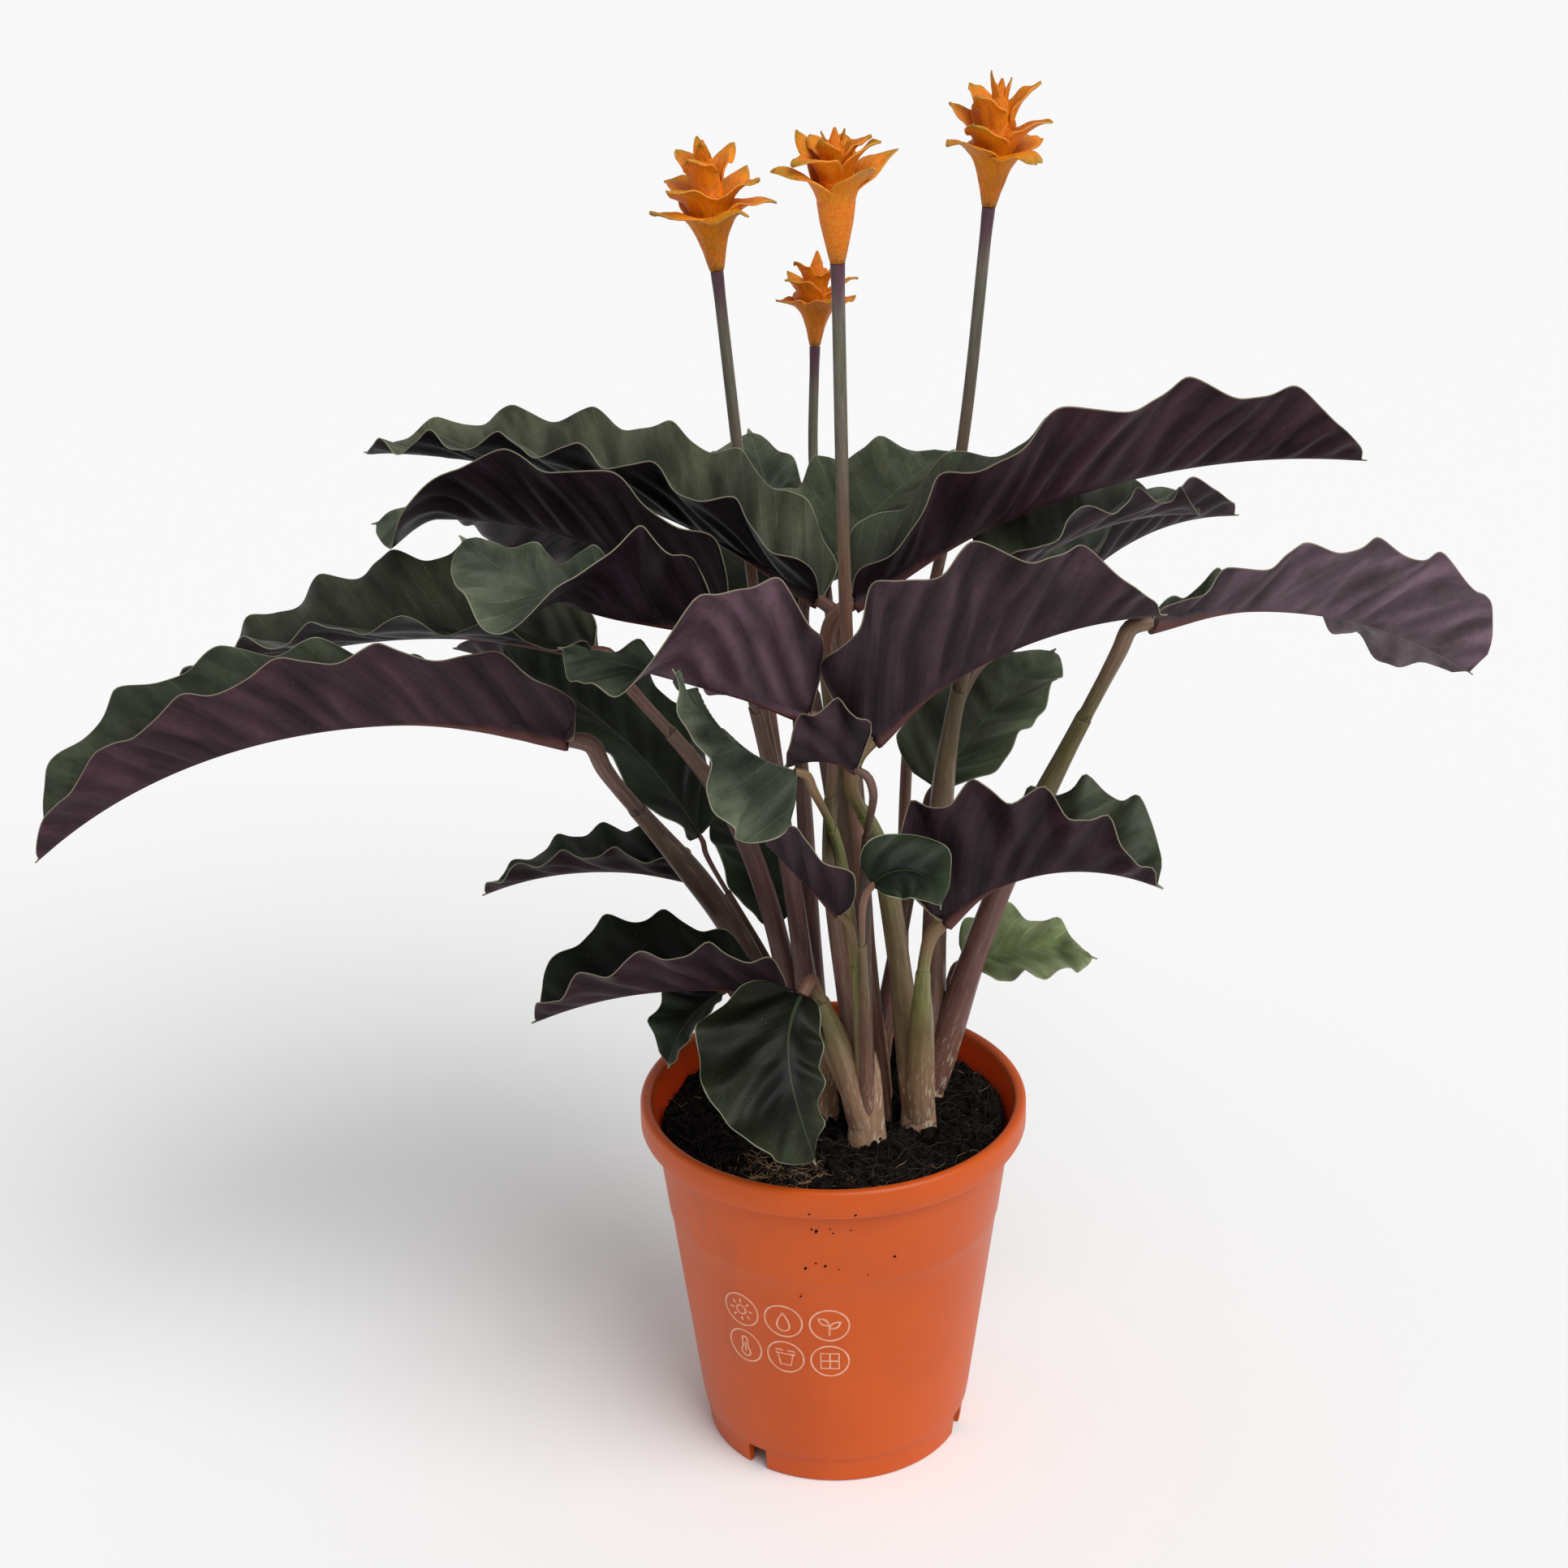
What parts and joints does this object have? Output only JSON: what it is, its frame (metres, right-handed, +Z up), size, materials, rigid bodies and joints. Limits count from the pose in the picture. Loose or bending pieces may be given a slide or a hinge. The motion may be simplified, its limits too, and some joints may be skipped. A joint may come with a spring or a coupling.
{
  "type": "potted eternal flame calathea",
  "caption": "Potted calathea with waved, folded dark leaves and upright orange flame-like flower heads, in a tapered plastic nursery pot with a rolled lip.",
  "frame": {"origin": "middle of the pot's underside, on the surface it stands on", "axes": "+Z up; +X to the right and -Y towards the viewer in the front view"},
  "size_m": [0.5002, 0.2307, 0.4869],
  "materials": {
    "pot_plastic": "orange moulded polypropylene with a soft sheen",
    "peat": "dark damp peat with pale fibres; fabric stands in for a soft fibrous material",
    "leaf_stalk": "olive to purple-brown stalk; leather stands in for plant tissue",
    "leaf": "dark green above and purple-brown below, satin; leather stands in for leaf tissue",
    "flower_stalk": "grey-purple stalk; leather stands in for plant tissue",
    "bract": "orange satin bract; leather stands in for plant tissue"
  },
  "bodies": {
    "root": {"pot": "pot_plastic", "soil": "peat", "shoot_backLeft": "leaf_stalk", "shoot_left": "leaf_stalk", "shoot_front": "leaf_stalk", "shoot_frontRight": "leaf_stalk", "shoot_right": "leaf_stalk", "shoot_back": "leaf_stalk", "leaf_left_top": "leaf", "leaf_left_second": "leaf", "leaf_left_third": "leaf", "leaf_left_longest": "leaf", "leaf_left_inner_upper": "leaf", "leaf_left_inner_lower": "leaf", "leaf_front_light": "leaf", "leaf_front_small": "leaf", "leaf_back_centre": "leaf", "leaf_back_left": "leaf", "leaf_right_top": "leaf", "leaf_right_inner": "leaf", "leaf_right_farthest": "leaf", "leaf_back_right_upper": "leaf", "leaf_back_right_lower": "leaf", "leaf_back_right_inner": "leaf", "leaf_right_low": "leaf", "leaf_right_lowest": "leaf", "leaf_left_low_thin": "leaf", "leaf_left_low": "leaf", "leaf_left_lowest": "leaf", "leaf_front_over_rim": "leaf", "leaf_back_left_dark": "leaf", "leaf_back_left_small": "leaf", "leaf_front_young_left": "leaf", "leaf_front_young_right": "leaf", "flower_stalk_left": "flower_stalk", "flower_head_left": "bract", "flower_stalk_middle": "flower_stalk", "flower_head_middle": "bract", "flower_stalk_right": "flower_stalk", "flower_head_right": "bract", "flower_stalk_back": "flower_stalk", "flower_head_back": "bract"}
  },
  "joints": []
}
